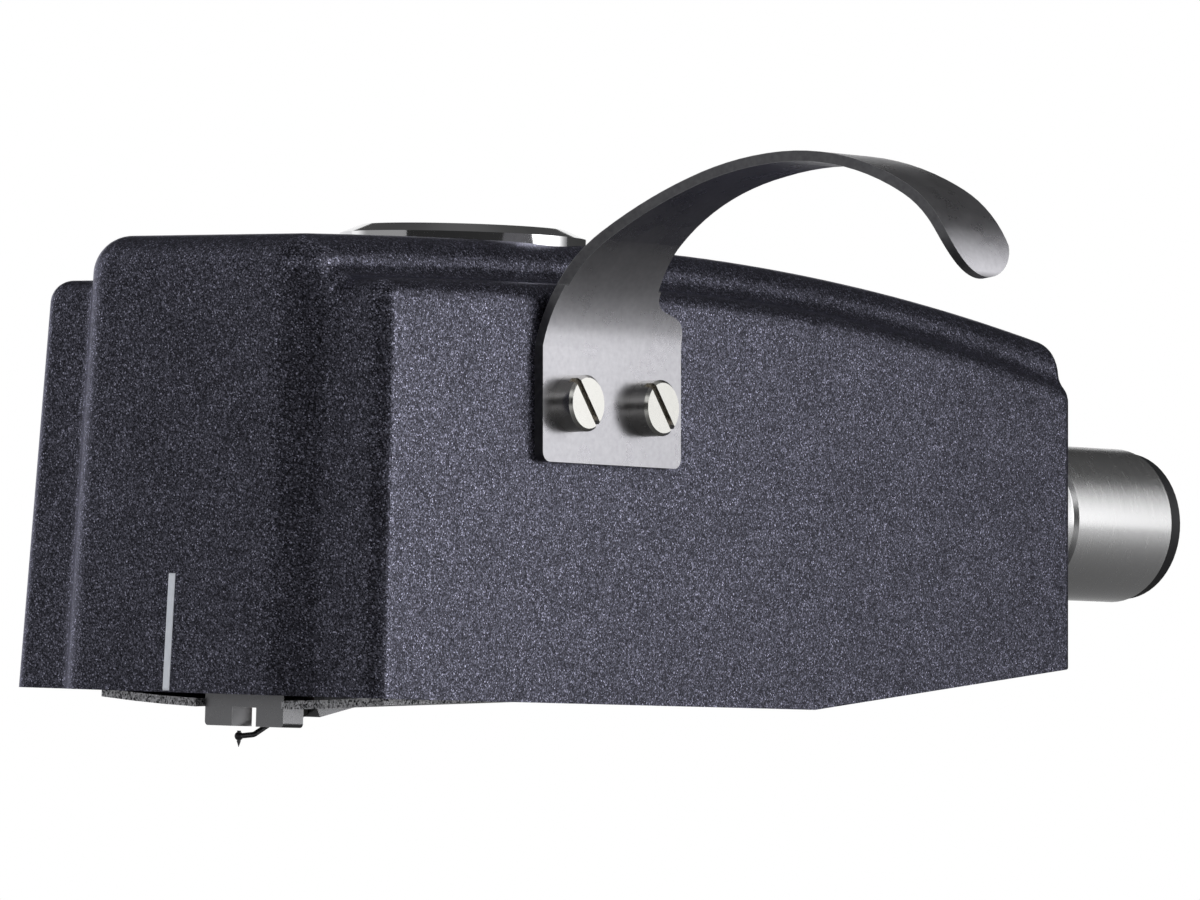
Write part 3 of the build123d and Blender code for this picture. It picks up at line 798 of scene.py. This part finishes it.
def upright_flag(name, azimuths, distance, heights, fade, glow):
    """Upright card between two azimuths and two heights, its glow changing along X by shares of its box."""
    middle = radians(sum(azimuths) / 2)
    half = distance * tan(radians(azimuths[1] - azimuths[0]) / 2)
    towards = Vector((cos(middle), sin(middle), 0)) * distance
    side = Vector((-sin(middle), cos(middle), 0)) * half
    spans = [(-1, 0), (1, 0), (1, 1), (-1, 1)]
    corners = [CENTRE + towards + side * s + Vector((0, 0, heights[h])) for s, h in spans]
    paint = Paint(name)
    where = paint.along(paint.node("ShaderNodeTexCoord").outputs["Generated"], "X")
    flag(name, corners, glowing(paint, where, fade, glow))


def level_flag(name, reach, height, fade, glow):
    """Level card round the object, its glow changing outwards from the middle, by distance."""
    paint = Paint(name)
    where = paint.vector("DISTANCE", paint.place, CENTRE).outputs["Value"]
    flag(name, level_corners(reach, height), glowing(paint, where, fade, glow))


def softbox(name, azimuth, elevation, distance, width, height, radiance):
    """Rectangular light that faces the object, given by how bright its face looks."""
    light = bpy.data.lights.new(name, "AREA")
    light.shape = "RECTANGLE"
    light.size = width
    light.size_y = height
    light.energy = radiance * pi * width * height
    lamp = placed(name, light)
    a, e = radians(azimuth), radians(elevation)
    towards = Vector((cos(a) * cos(e), sin(a) * cos(e), sin(e)))
    lamp.location = CENTRE + towards * distance
    lamp.rotation_euler = towards.to_track_quat("Z", "Y").to_euler()
    lamp.visible_camera = False
    lamp.visible_glossy = False


def white_world():
    """White where the camera, metal and glass see it, a plain grey light elsewhere."""
    world = bpy.data.worlds.new("studio")
    bpy.context.scene.world = world
    world.use_nodes = True
    tree = world.node_tree
    tree.nodes.clear()
    path = tree.nodes.new("ShaderNodeLightPath")
    seen = path.outputs["Is Camera Ray"]
    for kind in ("Is Glossy Ray", "Is Transmission Ray"):
        either = tree.nodes.new("ShaderNodeMath")
        either.operation = "MAXIMUM"
        tree.links.new(seen, either.inputs[0])
        tree.links.new(path.outputs[kind], either.inputs[1])
        seen = either.outputs[0]
    mix = tree.nodes.new("ShaderNodeMixShader")
    tree.links.new(seen, mix.inputs[0])
    for socket, level in ((mix.inputs[1], WORLD_GREY), (mix.inputs[2], 1.0)):
        plain = tree.nodes.new("ShaderNodeBackground")
        plain.inputs["Color"].default_value = (level, level, level, 1)
        tree.links.new(plain.outputs[0], socket)
    tree.links.new(mix.outputs[0], tree.nodes.new("ShaderNodeOutputWorld").inputs["Surface"])


def camera():
    """The photograph's camera."""
    data = bpy.data.cameras.new("camera")
    data.sensor_width = SENSOR
    data.lens = FOCAL_PIXELS * SENSOR / IMAGE_WIDTH
    data.clip_start = CAMERA_NEAR
    made = placed("camera", data)
    azimuth, elevation = radians(CAMERA_AZIMUTH), radians(CAMERA_ELEVATION)
    back = Vector((sin(azimuth) * cos(elevation), -cos(azimuth) * cos(elevation), sin(elevation)))
    level = Vector((0, 0, 1)).cross(back).normalized()
    upright = back.cross(level)
    roll = radians(CAMERA_ROLL)
    right = level * cos(roll) + upright * sin(roll)
    top = upright * cos(roll) - level * sin(roll)
    turn = Matrix((right, top, back)).transposed()
    made.matrix_world = Matrix.Translation(CAMERA_PLACE) @ turn.to_4x4()
    bpy.context.scene.camera = made


floor()
white_world()
softbox("right_softbox", azimuth=-60, elevation=25, distance=0.6, width=0.6, height=0.5, radiance=2.6)
softbox("left_softbox", azimuth=150, elevation=25, distance=0.6, width=0.5, height=0.5, radiance=1.6)
upright_flag(
    "right_card", azimuths=(-78, -24), distance=0.2, heights=(-0.008, 0.17),
    fade=(0.45, 1.0), glow=(3.2, 0.35),
)
upright_flag(
    "right_flag", azimuths=(-25, 33), distance=0.56, heights=(-0.1, 0.5),
    fade=(0.0, 1.0), glow=(0.05, 0.07),
)
upright_flag(
    "camera_flag", azimuths=(-190, -78), distance=0.9, heights=(-0.8, 0.32),
    fade=(0.0, 1.0), glow=(0.03, 0.04),
)
level_flag("ceiling_flag", reach=0.5, height=0.44, fade=(0.35, 0.7), glow=(0.5, 0.08))
upright_flag(
    "left_flag", azimuths=(98, 170), distance=0.6, heights=(-0.1, 0.5),
    fade=(0.6, 0.85), glow=(0.40, 1.3),
)
upright_flag(
    "back_flag", azimuths=(33, 98), distance=0.58, heights=(0.2, 0.5),
    fade=(0.0, 1.0), glow=(0.08, 0.07),
)
# Low card just above the floor, seen in reflections only: painted shade, darkest under the object, that
# stands in for the floor's shadow and makes the floor dark in the metals
level_flag("low_shade_flag", reach=0.5, height=-0.036, fade=(0.03, 0.25), glow=(0.08, 0.6))
camera()
bpy.context.scene.view_settings.view_transform = "Standard"
